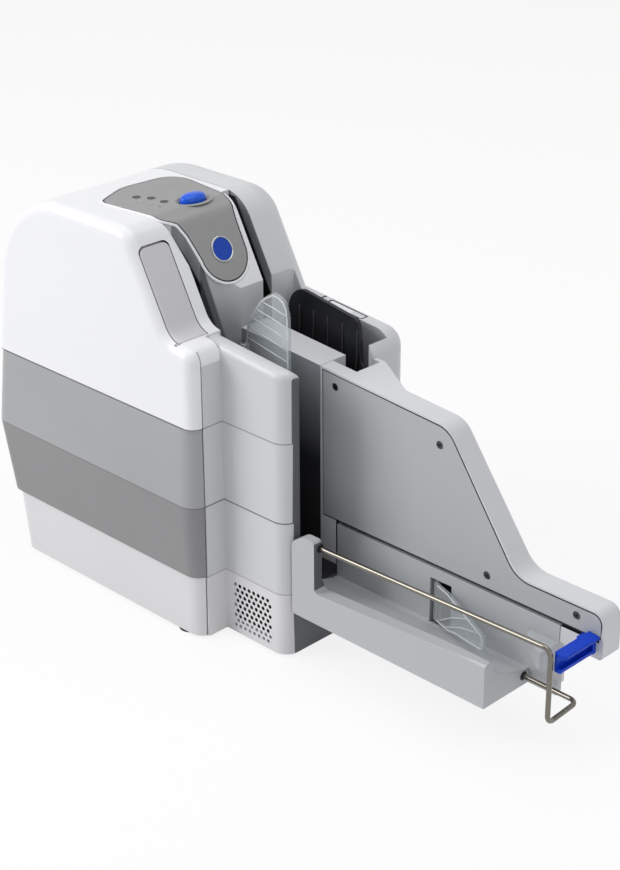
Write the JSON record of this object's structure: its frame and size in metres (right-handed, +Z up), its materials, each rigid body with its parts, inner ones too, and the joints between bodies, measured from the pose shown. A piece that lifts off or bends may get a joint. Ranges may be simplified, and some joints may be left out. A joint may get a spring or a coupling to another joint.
{
  "type": "cheque scanner",
  "caption": "Desktop cheque scanner with a domed feeder body, open document track, hinged ink door, blue button and a long exit tray with wire guide and sliding stop.",
  "frame": {"origin": "bottom centre of the whole object's box, on the surface that the rubber feet stand on", "axes": "+X along the document track towards the end of the exit tray, +Y from the white side of the body to the hopper side, +Z up"},
  "size_m": [0.4124, 0.1218, 0.2404],
  "materials": {
    "white_gloss": "smooth glossy off-white moulding",
    "band_grey": "fine matt mid-grey moulding",
    "base_grey": "fine matt pale warm-grey moulding",
    "body_grey": "fine matt light-grey moulding",
    "door_grey": "fine matt light-grey moulding",
    "panel_metallic": "satin grey metallic paint",
    "button_blue": "polished saturated blue",
    "stop_blue": "smooth blue moulding",
    "badge_blue": "glossy domed resin disc",
    "lens_dark": "smoked light windows",
    "black_plastic": "matt black moulding",
    "clear_plastic": "clear moulding with faint ribs",
    "steel_wire": "drawn bright steel wire",
    "steel": "turned steel",
    "screw_steel": "dark plated steel",
    "rubber_black": "matt black rubber",
    "motor_metal": "plated motor can",
    "board_green": "circuit board with solder mask",
    "sensor_black": "black sensor housing"
  },
  "bodies": {
    "housing": {"base_tub": "base_grey", "rubber_feet": "rubber_black", "mid_base_shell": "base_grey", "mid_lower_shell": "body_grey", "mid_upper_shell": "body_grey", "mid_top_shell": "body_grey", "left_band_shell": "band_grey", "right_band_shell": "band_grey", "left_cover": "white_gloss", "right_cover": "body_grey", "door_hinge_pins": "steel", "control_panel": "panel_metallic", "panel_board": "board_green", "status_lights": "lens_dark", "badge": "badge_blue", "track_floor": "black_plastic", "outer_guide": "black_plastic", "inner_guide": "black_plastic", "island_block": "body_grey", "hopper_walls": "black_plastic", "paddle_pin": "steel", "exit_flag_pin": "steel", "extension_shell": "body_grey", "panel_insert": "body_grey", "panel_screws": "screw_steel", "tray": "body_grey", "wire_guide": "steel_wire", "tray_flag_pin": "steel", "drive_motor": "motor_metal", "timing_belt": "rubber_black", "image_sensor_front": "sensor_black", "image_sensor_back": "sensor_black", "magnetic_head": "steel", "separator_pad": "rubber_black", "ink_cartridge": "sensor_black", "main_board": "board_green", "power_inlet": "sensor_black", "usb_socket": "steel"},
    "door": {"service_door": "door_grey"},
    "button": {"power_button": "button_blue"},
    "hopper_paddle": {"paddle": "black_plastic"},
    "exit_flag": {"exit_flag": "clear_plastic"},
    "tray_flag": {"tray_flag": "clear_plastic"},
    "stop": {"end_stop": "stop_blue"},
    "motor_rotor": {"motor_pulley": "steel"},
    "turn_roller": {"turn_roller": "rubber_black"},
    "print_roller": {"print_roller": "rubber_black"},
    "exit_roller": {"exit_roller": "rubber_black"},
    "feed_roller": {"feed_roller": "rubber_black"},
    "pick_roller": {"pick_roller": "rubber_black"},
    "turn_pinch": {"turn_pinch": "rubber_black"},
    "print_pinch": {"print_pinch": "rubber_black"},
    "exit_pinch": {"exit_pinch": "rubber_black"}
  },
  "joints": [
    {"name": "door_hinge", "type": "hinge", "parent": "housing", "child": "door", "pos_m": [-0.04135, -0.0445, 0.1792], "axis": [0, 1, 0], "range_deg": [0, 68]},
    {"name": "button_press", "type": "slide", "parent": "housing", "child": "button", "axis": [0, 0, -1], "range_m": [0, 0.0018], "stiffness_N_per_m": 300, "springref_m": -0.001},
    {"name": "paddle_swing", "type": "hinge", "parent": "housing", "child": "hopper_paddle", "pos_m": [0.02375, 0.0275, 0.102], "axis": [0, 0, 1], "range_deg": [-2, 6.5]},
    {"name": "exit_flag_swing", "type": "hinge", "parent": "housing", "child": "exit_flag", "pos_m": [-0.04875, 0.0005, 0.142], "axis": [0, 0, 1], "range_deg": [-6, 12], "stiffness_Nm_per_rad": 0.02},
    {"name": "tray_flag_swing", "type": "hinge", "parent": "housing", "child": "tray_flag", "pos_m": [0.09525, 0.0047, 0.052], "axis": [0, 0, 1], "range_deg": [-6, 8], "stiffness_Nm_per_rad": 0.01},
    {"name": "stop_slide", "type": "slide", "parent": "housing", "child": "stop", "axis": [-1, 0, 0], "range_m": [0, 0.118]},
    {"name": "motor_spin", "type": "hinge", "parent": "housing", "child": "motor_rotor", "pos_m": [-0.16275, 0, 0.03], "axis": [0, 0, 1], "continuous": true},
    {"name": "turn_roller_spin", "type": "hinge", "parent": "housing", "child": "turn_roller", "pos_m": [-0.12675, 0.01455, 0.09], "axis": [0, 0, 1], "continuous": true},
    {"name": "print_roller_spin", "type": "hinge", "parent": "housing", "child": "print_roller", "pos_m": [-0.12675, -0.0126, 0.09], "axis": [0, 0, 1], "continuous": true},
    {"name": "exit_roller_spin", "type": "hinge", "parent": "housing", "child": "exit_roller", "pos_m": [-0.07175, -0.0126, 0.09], "axis": [0, 0, 1], "continuous": true},
    {"name": "feed_roller_spin", "type": "hinge", "parent": "housing", "child": "feed_roller", "pos_m": [-0.07675, 0.01455, 0.09], "axis": [0, 0, 1], "continuous": true},
    {"name": "pick_roller_spin", "type": "hinge", "parent": "housing", "child": "pick_roller", "pos_m": [-0.03475, 0.01455, 0.09], "axis": [0, 0, 1], "continuous": true},
    {"name": "turn_pinch_spin", "type": "hinge", "parent": "housing", "child": "turn_pinch", "pos_m": [-0.12675, 0.02985, 0.09], "axis": [0, 0, 1], "continuous": true},
    {"name": "print_pinch_spin", "type": "hinge", "parent": "housing", "child": "print_pinch", "pos_m": [-0.12675, -0.0279, 0.09], "axis": [0, 0, 1], "continuous": true},
    {"name": "exit_pinch_spin", "type": "hinge", "parent": "housing", "child": "exit_pinch", "pos_m": [-0.07175, -0.0279, 0.09], "axis": [0, 0, 1], "continuous": true}
  ],
  "couplings": [
    {"joint": "turn_roller_spin", "follows": "motor_spin", "ratio": 1},
    {"joint": "print_roller_spin", "follows": "motor_spin", "ratio": 1},
    {"joint": "exit_roller_spin", "follows": "motor_spin", "ratio": 1},
    {"joint": "feed_roller_spin", "follows": "motor_spin", "ratio": 1},
    {"joint": "pick_roller_spin", "follows": "motor_spin", "ratio": 1},
    {"joint": "turn_pinch_spin", "follows": "motor_spin", "ratio": -1.5},
    {"joint": "print_pinch_spin", "follows": "motor_spin", "ratio": -1.5},
    {"joint": "exit_pinch_spin", "follows": "motor_spin", "ratio": -1.5}
  ]
}
